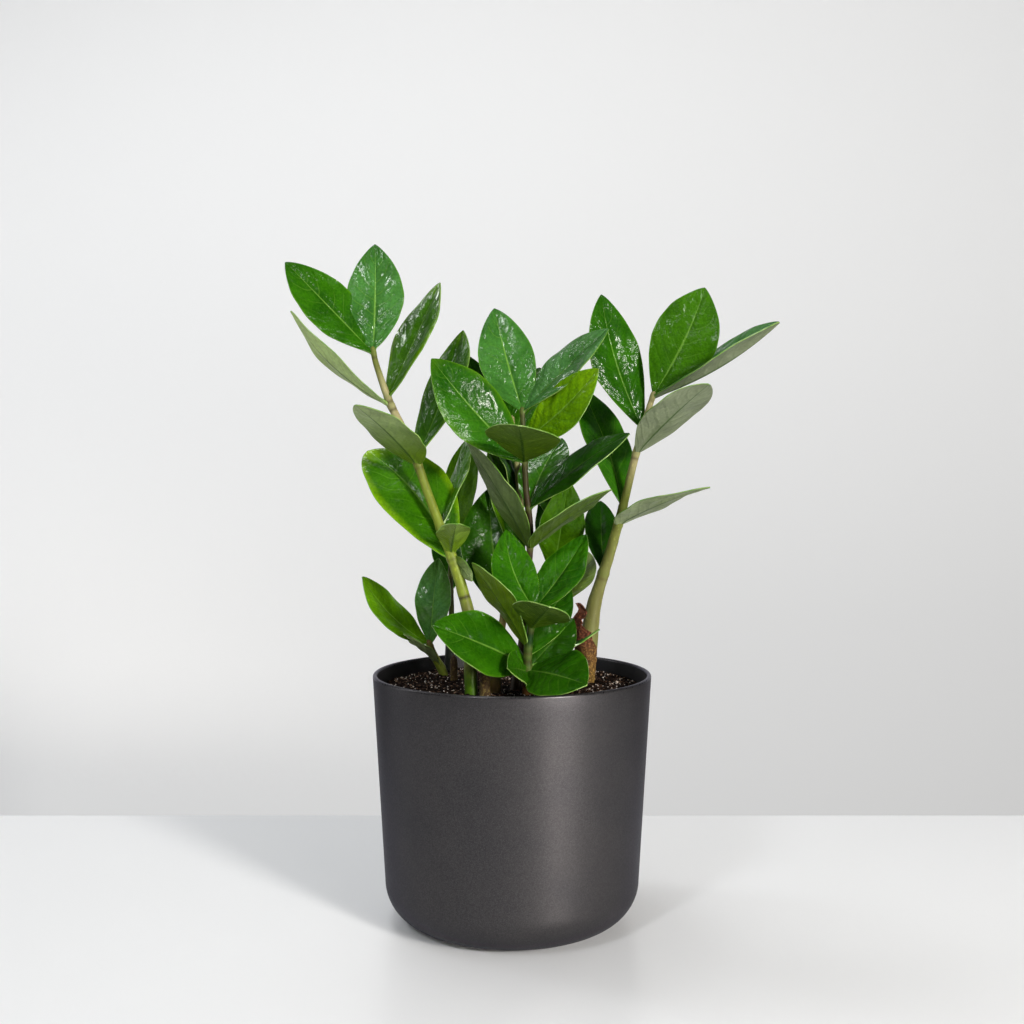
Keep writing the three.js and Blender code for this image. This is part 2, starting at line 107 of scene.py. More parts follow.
FRONDS["frond_left_tall"] = {
    "stem": [
        [-18, -29, 88, 2.2], [-19, -29, 104, 3.4], [-19.5, -29, 115, 3.3], [-20, -28, 130, 3.2],
        [-20, -26, 150, 3.0], [-24, -24, 167, 2.8], [-29, -23, 182, 2.5], [-40, -19, 211, 2.2],
        [-50, -15, 238, 2.1], [-60, -12, 258, 1.9], [-67, -9, 277, 1.5], [-69, -8, 286, 1.2],
    ],
    "bark": [(122, "bright_green"), (134, "olive"), (158, "olive"), (166, "green_olive"),
             (192, "green_olive"), (240, "fresh_olive"), (250, "tan"), (262, "tan"), (280, "fresh_olive")],
    "scars": [163.5],
    "leaflets": [
        leaflet(283, (-111, -14, 327), 28, (0.4, -0.9, 0.4), (0.05, 0.2, 0.2), arch=-0.03, bend=0.02),
        leaflet(285, (-69, 3, 339), 29, (-0.1, -1, 0.1), (0.05, 0, 1),
                fold=6, bend=0.015, broadest_at=0.48, pale=0.6),
        leaflet(261, (-36, -2, 319), 31, (-0.75, -0.6, 0.3), (0.2, 0.05, 1),
                fold=12, arch=0.01, bend=0.03, broadest_at=0.5, golden=0.5),
        leaflet(257, (-108, -16, 303), 22, (0.65, 0.3, 0.65), (0.9, 0, 0.1), arch=-0.08, pale=1),
        leaflet(228, (-72, -50, 255), 30, (0, 0, 1), (0.6, 0, 0.1),
                arch=0.03, broadest_at=0.46, fullness=0.62, pale=0.45),
        leaflet(231, (-25, 12, 297), 29, (-0.65, -0.7, 0.2), (0.12, 0.3, 0.2),
                fold=10, arch=-0.02, bend=0.02, golden=0.4),
        leaflet(182, (-73, 2, 235), 38, (0.3, -0.85, 0.3), (0.1, 0.12, 0.95),
                fold=12, arch=0.03, bend=0.07, broadest_at=0.56, fullness=0.6, golden=0.75),
        leaflet(184, (-26, -46, 200), 17, (0, 0, 1), (0.6, 0, 0.1), fold=28, arch=0.05, pale=0.1),
        leaflet(197, (-21, 12, 247), 17, (-0.85, -0.5, 0.2), (0.2, 0, 0.6), fold=12, arch=-0.03, golden=0.3),
        leaflet(184, (-19, -30, 172), 9, (0.5, 0.6, 0.3), (0.5, 0.1, 0.1), pale=0.3),
    ],
}

FRONDS["frond_left_short"] = {
    "stem": [
        [-34, 31, 98, 1.6], [-35.5, 31, 112, 2.4], [-37, 31, 119, 2.3], [-41, 28, 127, 2.1],
        [-44, 26, 135, 1.5],
    ],
    "bark": [(110, "green_olive"), (124, "green_olive"), (132, "brown"), (140, "brown")],
    "leaflets": [
        leaflet(134, (-78, 20, 170), 24, (0.7, -0.5, 0.6), (0.6, 0, 0.15), fold=10, arch=-0.07, bend=-0.03),
        leaflet(133, (-39, 30, 179), 20, (-0.3, -1, 0), (0.6, 0, 0.7), fold=12, arch=0.03, pale=0.9),
        leaflet(121, (-56, 14, 141), 14, (0.4, 0.3, 0.8), (0.8, 0, 0.1), fold=14, pale=1),
    ],
}

FRONDS["frond_back_left"] = {
    "stem": [
        [-33, 48, 92, 1.8], [-33.5, 48, 108, 3.0], [-34, 48, 117, 2.9], [-34, 48, 133, 2.2],
        [-33, 47, 147, 1.5], [-33, 42, 175, 1.3], [-29, 38, 196, 1.2], [-26, 33, 214, 1.0],
    ],
    "bark": [(110, "slate"), (135, "slate"), (150, "dark_olive"), (220, "dark_olive")],
    "leaflets": [
        leaflet(184, (-21, 24, 244), 22, (-0.5, -0.8, 0.2), (0.6, 0.15, 0.1), fold=12),
        leaflet(200, (-58, 72, 222), 23, (0.3, -0.2, 1), (0, 0.4, 0.2), fold=12),
        leaflet(160, (-38, 84, 194), 21, (0.2, 0, 1), (0, 0.1, 0.3), fold=12, arch=0.03),
        leaflet(170, (-13, 76, 197), 23, (0, 0, 1), (0, 0.1, 0.3), fold=12, arch=0.05),
    ],
}

FRONDS["frond_back_centre"] = {
    "stem": [
        [-10, -25, 92, 1.8], [-9.5, -26, 108, 3.6], [-9, -26, 118, 3.5], [-7, -22, 135, 2.2],
        [-4, -12, 154, 1.8], [1, 3, 180, 1.7], [4, 10, 205, 1.7], [3, 15, 225, 1.7],
        [1, 18, 241, 1.5], [0, 19, 253, 1.2],
    ],
    "bark": [(120, "husk_olive"), (126, "olive_brown"), (150, "olive_brown"), (190, "tan"), (255, "tan")],
    "leaflets": [
        leaflet(154, (-12, 10, 216), 33, (0.1, -1, 0.2), (0.15, 0.65, 0.3), arch=-0.02, bend=-0.02),
        leaflet(228, (-25, 20, 286), 22, (0.5, -0.7, 0.3), (0.05, 0.5, 0.15), fold=10, arch=0.03),
        leaflet(206, (-7, 22, 240), 16, (0.8, -0.4, 0.3), (0, 0.7, 0.1), fold=10, arch=0.03),
        leaflet(180, (-12, 25, 238), 22, (0.7, -0.6, 0.3), (0.55, 0.35, 0.1), fold=10, arch=0.03),
        leaflet(241, (15, 45, 281), 24, (-0.2, -0.7, 0.6), (0, 0.2, 0.3), fold=10, arch=0.05),
        leaflet(252, (-5, 48, 301), 24, (0.1, -0.7, 0.6), (0, 0.2, 0.3), fold=10, arch=0.05),
        leaflet(205, (25, 55, 230), 24, (-0.2, -0.2, 1), (0, 0.2, 0.3), fold=12, arch=0.05),
    ],
}

FRONDS["frond_centre"] = {
    "stem": [
        [1, -20, 92, 1.8], [1.5, -20, 108, 3.0], [2, -19, 118, 2.8], [5, -14, 141, 1.9],
        [8, -12, 173, 1.6], [9, -12, 196, 1.6], [7, -12, 215, 1.5], [6, -12, 235, 1.4],
        [5, -10, 256, 1.2],
    ],
    "bark": [(118, "husk_brown"), (130, "dark_brown"), (200, "dark_brown"), (258, "dark_olive")],
    "leaflets": [
        leaflet(255, (-9, 4, 307), 28, (0, -1, 0.2), (0, 0.05, 1),
                arch=0.03, bend=-0.015, broadest_at=0.48, pale=0.4),
        leaflet(254, (47, -18, 294), 26, (-0.5, -0.6, 0.6), (0, 0.12, 0.9), fold=20, bend=0.02, pale=0.9),
        leaflet(229, (-39, -22, 279), 32, (0.3, -0.9, 0.3), (0, 0.15, 0.3),
                bend=-0.035, golden=0.2, pale=0.05),
        leaflet(240, (41, -34, 273), 25, (-0.4, -0.8, 0.3), (1.05, 0, 0.1), bend=0.06),
        leaflet(230, (3, -62, 245), 36, (0.12, 0, 1), (0.55, 0.45, 0.2), fold=12, pale=0.05),
        leaflet(206, (26, 20, 242), 25, (-0.26, -0.68, 0.69), (0, 0.1, 1.1), fold=12, bend=-0.03),
        leaflet(206, (57, -22, 243), 24, (-0.5, -0.5, 0.7), (0, 0.65, 0.2), arch=0.04),
        leaflet(187, (47, -36, 216), 25, (-0.3, 0.2, 0.9), (0.3, 0.4, 0.1),
                fold=10, broadest_at=0.42, pale=0.05),
        leaflet(187, (-22, -8, 239), 23, (0.8, 0.5, 0.3), (0.2, 0.15, 0.1), broadest_at=0.44, pale=0.45),
    ],
}

FRONDS["frond_front_short"] = {
    "stem": [
        [8, -27, 92, 1.8], [8, -28, 108, 3.1], [8, -29, 117, 3.0], [7.5, -31, 136, 2.0],
        [9, -33, 149, 1.6], [10, -34, 161, 1.2],
    ],
    # from 123 to 152 the stem is painted shade, dark brown and then dark green
    "bark": [(119, "husk_orange"), (123, "husk_in_painted_shade"), (127, "green_in_painted_shade"), (152, "green_in_painted_shade"),
             (158, "dark_olive"), (165, "green_olive")],
    "leaflets": [
        leaflet(160, (-3, -18, 196), 21, (0, -0.9, 0.4), (0.02, 0.2, 0.15),
                arch=0.03, bend=-0.08, broadest_at=0.44),
        leaflet(158, (36, -24, 194), 22, (-0.5, -0.8, 0.3), (0.05, 0.28, 0.15),
                fold=10, arch=0.03, bend=0.05, broadest_at=0.48),
        leaflet(131, (-37, -50, 153), 34, (-0.1, -0.7, 0.7), (0.02, 0.32, 0.3), arch=0.03, broadest_at=0.5),
        leaflet(140, (-19, -33, 181), 25, (0.72, 0.45, 0.5), (0.75, 0, 0.1)),
        leaflet(150, (17, -62, 163), 28, (0.3, 0, 1), (0.3, 0.45, 0.1), fold=14, pale=0.05),
        leaflet(129, (30, -24, 153), 22, (-0.2, -0.9, 0.3), (0, 0.6, 0.2), fold=10, arch=0.04),
        leaflet(129, (34, -60, 127), 32, (-0.2, -0.6, 0.8), (0.02, 0.38, 0.2), arch=0.04),
        leaflet(128, (-2, -52, 133.5), 18, (0.3, -0.8, 0.5), (0, 0.45, 0.2), arch=0.04),
        leaflet(131, (43, -16, 147), 12, (-0.4, 0.1, 0.8), (0.3, 0, 0.1), arch=-0.04, pale=0.8),
        leaflet(136, (28, -9, 169), 20, (-0.1, -0.9, 0.35), (0, 0.5, 0.1), arch=0.04),
    ],
}

FRONDS["frond_right_tall"] = {
    "stem": [
        [36, 9, 88, 2.6], [37.5, 9, 104, 4.0], [38, 9, 117, 4.3], [39, 9, 131, 4.6],
        [40, 9, 143, 4.5], [42, 9, 156, 3.8], [45, 8, 167, 3.1], [51, 6, 187, 2.6],
        [57, 3, 210, 2.1], [62, 0, 232, 1.9], [68, -2, 254, 1.6], [71, -3, 264, 1.3],
    ],
    "bark": [(110, "brown"), (130, "olive_grey"), (165, "olive_grey"), (210, "fresh_olive"), (236, "tan"),
             (265, "tan")],
    "leaflets": [
        leaflet(263, (96, -5, 316), 33, (-0.2, -1, 0.1), (0.15, 0.15, 0.3), fold=6, bend=0.04),
        leaflet(262, (128, -28, 296), 33, (-0.4, -0.42, 0.8), (0, 0.1, 0.8),
                fold=22, curl=50, arch=-0.06, pale=1),
        leaflet(246, (45, 4, 314), 29, (0.4, -0.9, 0.2), (0, 0.2, 0.4), fold=10, arch=0, bend=-0.05),
        leaflet(234, (93, -34, 266), 33, (-0.15, 0.3, 1), (0, 0.05, 0.1),
                broadest_at=0.58, fullness=0.62, pale=1),
        leaflet(198, (94, -34, 217), 28, (0, 0, 1), (0.2, 0, 0.1), arch=0.03, broadest_at=0.36, pale=1),
        leaflet(207, (36, 26, 269), 28, (0.5, -0.8, 0.2), (0.05, 0.25, 0.6), fold=18, arch=0, bend=0.045),
        leaflet(173, (48, 44, 209), 19, (0.2, -0.8, 0.5), (0, 0.75, 0.05), fold=10, arch=0.04, bend=-0.02),
    ],
}

FRONDS["frond_back_right"] = {
    "stem": [
        [17, 41, 92, 1.8], [18, 41, 108, 2.8], [19, 40, 117, 2.6], [20, 38, 134, 1.9],
        [21, 35, 156, 1.6], [22, 32, 175, 1.4], [24, 31, 194, 1.3], [27, 30, 208, 1.0],
    ],
    "bark": [(110, "brown"), (150, "dark_olive"), (210, "dark_olive")],
    "leaflets": [
        leaflet(170, (29, 18, 220), 24, (0.2, -0.9, 0.2), (0.4, 0.4, 0.2), fold=10, arch=0.03),
        leaflet(172, (28, 50, 224), 25, (-0.3, -0.8, 0.4), (0, 0.45, 0.2), fold=10, arch=0.03),
        leaflet(150, (38, 6, 184), 28, (0, 0.3, 1), (0.6, 0.25, 0.1), fullness=0.7, pale=0.15),
        leaflet(196, (20, 84, 226), 22, (0, 0, 1), (0, 0.2, 0.3), fold=10, arch=0.05),
    ],
}

# Colours of bark and husk, as light reflected in red, green and blue.
BARK = {
    "bright_green": (0.055, 0.135, 0.003),
    "green_olive": (0.22, 0.29, 0.030),
    "fresh_olive": (0.155, 0.185, 0.030),
    "olive": (0.15, 0.18, 0.035),
    "olive_grey": (0.18, 0.19, 0.055),
    "tan": (0.42, 0.38, 0.19),
    "olive_brown": (0.14, 0.12, 0.035),
    "dark_olive": (0.06, 0.075, 0.015),
    "dark_brown": (0.040, 0.028, 0.012),
    # painted shade: dark green on the front short stem, where it lies in shadow behind the leaves
    "green_in_painted_shade": (0.009, 0.040, 0.005),
    "husk_brown": (0.030, 0.018, 0.006),
    "husk_olive": (0.150, 0.105, 0.028),
    "husk_orange": (0.270, 0.120, 0.034),
    # painted shade: very dark husk brown at the foot of the front short stem
    "husk_in_painted_shade": (0.035, 0.018, 0.010),
    "brown": (0.16, 0.075, 0.03),
    "slate": (0.035, 0.045, 0.035),
    "joint_ring": (0.05, 0.035, 0.012),
    "joint_knee": (0.16, 0.22, 0.04),
    "scar": (0.030, 0.018, 0.010),
    "sheath_foot": (0.185, 0.108, 0.024),
    "sheath_middle": (0.135, 0.068, 0.018),
    "sheath_tongue": (0.110, 0.034, 0.016),
}

STUBS = {
    "dry_stub_left": [[-29.5, 10, 100, 1.6], [-29.8, 10, 118, 2.0], [-30, 10, 129, 1.8]],
    "dry_stub_front": [[-12.5, -33, 98, 1.6], [-12.8, -33.5, 116, 2.8], [-13, -33.5, 131, 2.2]],
}

# The sheath's stations are [height, half the angle that it covers, distance from the stem].
# It stands off the stem on its left and stays close to it on its right.
SHEATH = {
    "stem": "frond_right_tall", "thickness": 0.6, "facing": -135, "rows": 70, "columns": 40,
    "stations": [
        [108, 112, 1.0], [122, 112, 1.5], [133, 106, 2.4], [139, 68, 3.9], [147, 32, 6.0], [158, 9, 8.8],
    ],
    "closest": 0.35, "slack": 0.8, "flare": 1.15, "tongue": (134, 146), "narrowing": 0.62, "sway": 10,
    "bark": [(118, "sheath_foot"), (132, "sheath_middle"), (140, "sheath_tongue")],
}

# Colours of the grains of the soil, each with its share of them.
GRAIN_COLOURS = [
    ((0.009, 0.0050, 0.0035), 0.45),
    ((0.022, 0.012, 0.007), 0.24),
    ((0.090, 0.050, 0.033), 0.20),
    ((0.300, 0.200, 0.140), 0.08),
    ((0.850, 0.720, 0.620), 0.03),
]
PALE_BIT = (0.84, 0.76, 0.70)
FIBRE = (0.16, 0.08, 0.04)


# ------------------------ workshop helpers

def metres(*millimetres):
    return Vector(millimetres) * MM


def blend(a, b, share):
    return a + (b - a) * share


def ease(low, high, value):
    """A smooth step from 0 at the low value to 1 at the high one."""
    share = min(max((value - low) / (high - low), 0), 1)
    return share * share * (3 - 2 * share)


def set_mode(mode):
    bpy.ops.object.mode_set(mode=mode)


def put_down_tools():
    if bpy.context.object and bpy.context.object.mode != "OBJECT":
        set_mode("OBJECT")
    bpy.ops.object.select_all(action="DESELECT")


def pick(*pieces):
    put_down_tools()
    for piece in pieces:
        piece.select_set(True)
    bpy.context.view_layer.objects.active = pieces[0]


def edit_whole(piece, *steps):
    """Selects the whole mesh of a piece and runs the steps on it in edit mode."""
    pick(piece)
    set_mode("EDIT")
    select_whole()
    for step in steps:
        step()
    set_mode("OBJECT")


def select_whole():
    bpy.ops.mesh.select_all(action="SELECT")


def merge_close():
    bpy.ops.mesh.remove_doubles(threshold=1e-6)


def face_outwards():
    bpy.ops.mesh.normals_make_consistent(inside=False)


def spin_round():
    bpy.ops.mesh.spin(steps=POT["segments"], angle=2 * math.pi, center=(0, 0, 0), axis=(0, 0, 1))


def smooth(sharpest):
    """Shades the picked piece smooth, apart from edges sharper than the angle in degrees."""
    bpy.ops.object.shade_smooth_by_angle(angle=math.radians(sharpest))


def thicken(sheet, thickness, **settings):
    pick(sheet)
    solid = sheet.modifiers.new("solid", "SOLIDIFY")
    solid.thickness = thickness * MM
    for key, value in settings.items():
        setattr(solid, key, value)
    bpy.ops.object.modifier_apply(modifier=solid.name)


def fresh_grid(name, columns, rows):
    """A flat grid from -1 to 1, which each piece is then bent from."""
    put_down_tools()
    bpy.ops.mesh.primitive_grid_add(x_subdivisions=columns, y_subdivisions=rows, size=2, calc_uvs=True)
    grid = bpy.context.object
    grid.name = grid.data.name = name
    return grid


def fresh_piece(name, corners, edges, faces):
    mesh = bpy.data.meshes.new(name)
    mesh.from_pydata(corners, edges, faces)
    mesh.update()
    piece = bpy.data.objects.new(name, mesh)
    bpy.context.scene.collection.objects.link(piece)
    return piece


def paint_tint(piece, colours):
    """Stores a colour of four values for each vertex, which the piece's materials read as "tint"."""
    tint = piece.data.attributes.new("tint", "FLOAT_COLOR", "POINT")
    for entry, colour in zip(tint.data, colours):
        entry.color = colour


def join(name, pieces):
    pick(*pieces)
    bpy.ops.object.join()
    whole = bpy.context.object
    whole.name = whole.data.name = name
    return whole


def settle(piece, slot, *nodes):
    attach(piece, "root")
    if nodes:
        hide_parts(*nodes)


# ------------------------ finishes

class Finish:
    """A material with one shader, and short ways to add nodes to it."""

    def __init__(self, name, **fixed):
        self.material = bpy.data.materials.new(name)
        self.material.use_nodes = True
        self.tree = self.material.node_tree
        self.shader = self.tree.nodes["Principled BSDF"]
        self.show(**fixed)

    def show(self, **sockets):
        """Sets or links the shader's own inputs, which are named here with _ for a space."""
        for key, value in sockets.items():
            self.put(self.shader.inputs[key.replace("_", " ")], value)
        return self.material

    def put(self, socket, value):
        if isinstance(value, bpy.types.NodeSocket):
            self.tree.links.new(value, socket)
        elif socket.type == "RGBA":
            socket.default_value = (*value, 1)
        else:
            socket.default_value = value

    def add(self, kind, settings=None, **inputs):
        node = self.tree.nodes.new("ShaderNode" + kind)
        for key, value in (settings or {}).items():
            setattr(node, key, value)
        for key, value in inputs.items():
            self.put(node.inputs[key], value)
        return node

    def reckon(self, operation, a, b=0.0, clamp=False):
        node = self.add("Math", {"operation": operation, "use_clamp": clamp})
        self.put(node.inputs[0], a)
        self.put(node.inputs[1], b)
        return node.outputs[0]

    def times(self, a, b):
        return self.reckon("MULTIPLY", a, b)

    def plus(self, a, b):
        return self.reckon("ADD", a, b)

    def minus(self, a, b):
        return self.reckon("SUBTRACT", a, b)

    def mix(self, share, a, b, way="MIX"):
        node = self.add("Mix", {"data_type": "RGBA", "blend_type": way})
        for number, value in ((0, share), (6, a), (7, b)):
            self.put(node.inputs[number], value)
        return node.outputs[2]

    def cover(self, colour, *layers):
        """Lays tones over a colour. A layer is (tone, where it lies, how much of it)."""
        for tone, where, amount in layers:
            colour = self.mix(self.times(where, amount), colour, tone)
        return colour

    def scaled(self, colour, factors):
        return self.mix(1.0, colour, factors, "MULTIPLY")

    def spread(self, value, low, high, to_low=0.0, to_high=1.0):
        node = self.add("MapRange", {"interpolation_type": "SMOOTHSTEP"}, Value=value)
        for number, limit in enumerate((low, high, to_low, to_high), start=1):
            self.put(node.inputs[number], limit)
        return node.outputs[0]

    def grain(self, scale, detail, stretch=1):
        """Soft noise. A stretch under 1 draws it out along Z."""
        at = self.add("TexCoord").outputs["Object"]
        if stretch != 1:
            at = self.add("Mapping", Vector=at, Scale=(1, 1, stretch)).outputs["Vector"]
        return self.add("TexNoise", Vector=at, Scale=scale, Detail=detail).outputs["Fac"]

    def patches(self, scale, detail, low, high, to_low=0.0, to_high=1.0, stretch=1):
        """Soft noise with its values from low to high spread out."""
        return self.spread(self.grain(scale, detail, stretch), low, high, to_low, to_high)

    def speckle(self, scale, randomness=1.0, feature="F1"):
        at = self.add("TexCoord").outputs["Object"]
        cells = self.add("TexVoronoi", {"feature": feature}, Vector=at, Scale=scale, Randomness=randomness)
        return cells.outputs

    def tint(self):
        return self.add("Attribute", {"attribute_name": "tint"}).outputs

    def leaf_tint(self):
        """A leaflet's yellow, dark, gloss and pale, which its tint holds."""
        entry = self.tint()
        parts = self.add("SeparateColor", Color=entry["Color"]).outputs
        return parts["Red"], parts["Green"], parts["Blue"], entry["Alpha"]

    def relief(self, height, depth, strength=1.0, sockets=("Normal",)):
        node = self.add("Bump", Height=height, Distance=depth, Strength=strength)
        for socket in sockets:
            self.put(self.shader.inputs[socket], node.outputs["Normal"])


def blade_lines(look):
    """Along and across the blade, its midrib and its side veins, all from the blade's own UV map."""
    uv = look.add("SeparateXYZ", Vector=look.add("UVMap").outputs["UV"])
    along = uv.outputs["Y"]
    signed = look.minus(uv.outputs["X"], 0.5)
    across = look.times(look.reckon("ABSOLUTE", signed), 2.0)
    other_half = look.reckon("GREATER_THAN", signed, 0.0)
    sweep = look.times(look.reckon("POWER", across, LEAF["vein_curve"]), LEAF["vein_sweep"])
    phase = look.minus(look.times(along, float(LEAF["vein_pairs"])), sweep)
    phase = look.plus(phase, look.times(other_half, 0.5))
    phase = look.plus(phase, look.grain(70, 1))
    off_vein = look.reckon("PINGPONG", phase, 0.5)
    vein = look.spread(off_vein, 0.0, 0.075, 1.0, 0.0)
    vein = look.times(vein, look.spread(across, 0.6, 0.95, 1.0, 0.0))
    vein = look.times(vein, look.spread(along, 0.80, 0.97, 1.0, 0.0))
    vein = look.times(vein, look.patches(48, 2, 0.38, 0.62))
    rib_width = look.spread(along, 0.0, 1.0, 0.075, 0.022)
    rib = look.spread(look.reckon("DIVIDE", across, rib_width), 0.4, 1.0, 1.0, 0.0)
    return along, across, rib, vein, off_vein


def leaf_top():
    """Glossy green with a pale midrib, side veins and blisters in the gloss, with painted shade beside the
    veins, a painted sheen, a painted edge highlight and a painted glow at golden rims.
    """
    look = Finish("leaf_top", Specular_IOR_Level=0.03, Coat_Roughness=0.13)
    _, across, rib, vein, off_vein = blade_lines(look)
    yellow, dark, gloss, painted_sheen = look.leaf_tint()
    patches = look.patches(55, 4, 0.30, 0.70)
    net = look.spread(look.speckle(420, 0.9, "DISTANCE_TO_EDGE")["Distance"], 0.02, 0.12, 1.0, 0.0)
    green = look.mix(patches, (0.012, 0.082, 0.0006), (0.036, 0.172, 0.0018))
    young = look.mix(patches, (0.110, 0.260, 0.0012), (0.175, 0.355, 0.0025))
    deep = (0.004, 0.045, 0.0006)
    colour = look.cover(
        look.mix(yellow, green, young),
        # painted sheen: a pale bluish green laid over the green where pale is set, standing in for a broad
        # reflection
        ((0.090, 0.265, 0.072), painted_sheen, look.spread(patches, 0.0, 1.0, 0.5, 1.0)),
        (deep, look.patches(900, 3, 0.35, 0.65), 0.28),
        # painted shade: darker green beside each side vein, for the shade in the quilting between the veins
        (deep, look.spread(off_vein, 0.02, 0.30, 0.16, 0.0), 1.0),
        ((0.08, 0.24, 0.01), net, 0.14),
        ((0.14, 0.33, 0.03), vein, 0.34),
        ((0.22, 0.44, 0.06), rib, 0.55),
        # painted glow: yellow past 1, mostly from golden rims, standing in for light shining through the thin
        # edge
        ((0.36, 0.58, 0.012), look.spread(yellow, 1.0, 1.7), 1.0),
        # painted highlight: a lighter band along the edge of the blade, where the rim catches light
        ((0.13, 0.33, 0.010), look.spread(across, 0.93, 1.0), 0.45),
        # dark: partly the leaflet's own deeper green, partly painted shade on leaflets that lie in shadow
        ((0.003, 0.022, 0.0008), dark, 1.0),
    )
    wax = look.times(look.patches(130, 2, 0.3, 0.7), 0.08)
    dull = look.minus(look.plus(wax, 0.42), look.times(gloss, 0.14))
    coat = look.times(gloss, look.patches(75, 3, 0.38, 0.58, 0.15, 0.90))
    quilt = look.times(look.spread(off_vein, 0.0, 0.4), 0.18)
    lumps = look.times(look.grain(160, 2), 0.45)
    blisters = look.times(look.grain(560, 3), look.patches(65, 2, 0.40, 0.62, 0.20, 0.70))
    look.relief(look.plus(look.plus(quilt, lumps), blisters), 0.0009, 0.9, ("Normal", "Coat Normal"))
    return look.show(Base_Color=colour, Roughness=dull, Coat_Weight=coat)


def leaf_underside():
    """Olive, or grey where pale says, and first towards the tip where it is between 0 and 1."""
    look = Finish("leaf_underside", Specular_IOR_Level=0.22)
    along, _, rib, vein, off_vein = blade_lines(look)
    yellow, dark, _, pale = look.leaf_tint()
    patches = look.patches(70, 4, 0.3, 0.7)
    grey = look.mix(yellow, (0.225, 0.265, 0.160), (0.500, 0.660, 0.240))
    grey = look.cover(grey, ((0.120, 0.150, 0.070), patches, 0.40))
    olive = look.mix(yellow, (0.060, 0.125, 0.006), (0.160, 0.270, 0.006))
    olive = look.cover(olive, ((0.030, 0.075, 0.003), patches, 0.45))
    partly = look.times(pale, look.minus(1.0, pale))
    far = look.times(look.minus(along, 0.5), 5.0)
    greyness = look.reckon("ADD", pale, look.times(partly, far), clamp=True)
    colour = look.cover(
        look.mix(greyness, olive, grey),
        ((0.05, 0.09, 0.010), vein, 0.35),
        ((0.05, 0.08, 0.010), look.patches(700, 3, 0.35, 0.7), 0.22),
        ((0.030, 0.075, 0.006), rib, 0.85),
        # dark: partly the leaflet's own deeper green, partly painted shade on leaflets that lie in shadow
        ((0.012, 0.035, 0.002), dark, 0.85),
    )
    ridges = look.times(look.spread(off_vein, 0.0, 0.25, 1.0, 0.0), 0.3)
    height = look.plus(look.plus(ridges, look.grain(230, 3)), look.times(look.grain(700, 2), 0.3))
    look.relief(height, 0.0006, 0.8)
    return look.show(Base_Color=colour, Roughness=look.patches(130, 2, 0.3, 0.7, 0.40, 0.55))


# painted highlight: the pale green of the blade's cut edge stands in for light caught along the rim
def leaf_rim():
    look = Finish("leaf_rim", Roughness=0.3, Specular_IOR_Level=0.5)
    patches = look.patches(200, 2, 0.3, 0.7)
    return look.show(Base_Color=look.mix(patches, (0.10, 0.25, 0.020), (0.26, 0.40, 0.10)))


def stem_bark():
    """In the stem's own tint, with darker streaks and paler flecks along it."""
    look = Finish("stem_bark", Roughness=0.46, Specular_IOR_Level=0.2)
    tint = look.tint()["Color"]
    streaks = look.patches(420, 3, 0.3, 0.7, stretch=0.12)
    flecks = look.patches(900, 2, 0.60, 0.72, stretch=0.4)
    colour = look.cover(tint, (look.scaled(tint, (0.55, 0.42, 0.40)), streaks, 0.40))
    colour = look.cover(colour, (look.scaled(colour, (2.4, 2.3, 2.1)), flecks, 0.35))
    look.relief(look.grain(600, 3, 0.15), 0.0002, 0.5)
    return look.show(Base_Color=colour)


def dry_husk(name, stretch):
    """Dry and papery, in the piece's own tint, with long fibres, pale specks and dark spots."""
    look = Finish(name, Roughness=0.8, Specular_IOR_Level=0.25)
    tint = look.tint()["Color"]
    colour = look.cover(
        tint,
        ((0.035, 0.014, 0.007), look.patches(700, 4, 0.32, 0.68, stretch=stretch), 0.7),
        (look.scaled(tint, (2.3, 2.5, 2.5)), look.patches(950, 3, 0.52, 0.63), 0.85),
        ((0.040, 0.016, 0.008), look.patches(420, 3, 0.56, 0.66), 0.6),
    )
    look.relief(look.grain(800, 4, stretch), 0.0006)
    return look.show(Base_Color=colour)


def pot_satin(name, roughness):
    """Charcoal with fine metal flakes, as a satin lacquer has."""
    look = Finish(name, Metallic=0.80, Specular_IOR_Level=0.3, Specular_Tint=(0.55, 0.55, 0.62))
    mottle = look.patches(40, 3, 0.3, 0.7)
    colour = look.cover(
        look.mix(mottle, (0.055, 0.053, 0.056), (0.062, 0.059, 0.061)),
        ((0.118, 0.113, 0.112), look.spread(look.speckle(2100)["Distance"], 0.10, 0.50, 1.0, 0.0), 0.45),
        ((0.020, 0.020, 0.022), look.spread(look.speckle(1700)["Color"], 0.2, 1.0), 0.30),
    )
    look.relief(look.grain(1900, 2), 0.00008, 0.5)
    dull = look.patches(900, 2, 0.3, 0.7, roughness - 0.02, roughness + 0.03)
    return look.show(Base_Color=colour, Roughness=dull)


# painted shade: the inside wall is near black, a darker and duller copy of the pot's satin, for the shade
# inside the pot
def pot_inside_painted_shade():
    look = Finish("pot_inside_painted_shade", Roughness=0.55, Specular_IOR_Level=0.3)
    mottle = look.patches(900, 2, 0.3, 0.7)
    return look.show(Base_Color=look.mix(mottle, (0.008, 0.008, 0.010), (0.013, 0.013, 0.016)))


def soil_mix():
    look = Finish("soil_mix", Roughness=0.9, Specular_IOR_Level=0.03)
    lumps = look.patches(500, 4, 0.35, 0.65)
    look.relief(look.grain(900, 4), 0.0008)
    return look.show(Base_Color=look.mix(lumps, (0.003, 0.0015, 0.0012), (0.010, 0.005, 0.0035)))


def soil_grains():
    look = Finish("soil_grains", Roughness=0.75, Specular_IOR_Level=0.06)
    lumps = look.patches(1500, 3, 0.3, 0.7)
    look.relief(look.grain(2200, 3), 0.0003, 0.8)
    return look.show(Base_Color=look.cover(look.tint()["Color"], ((0.010, 0.006, 0.004), lumps, 0.5)))


# ------------------------ stems

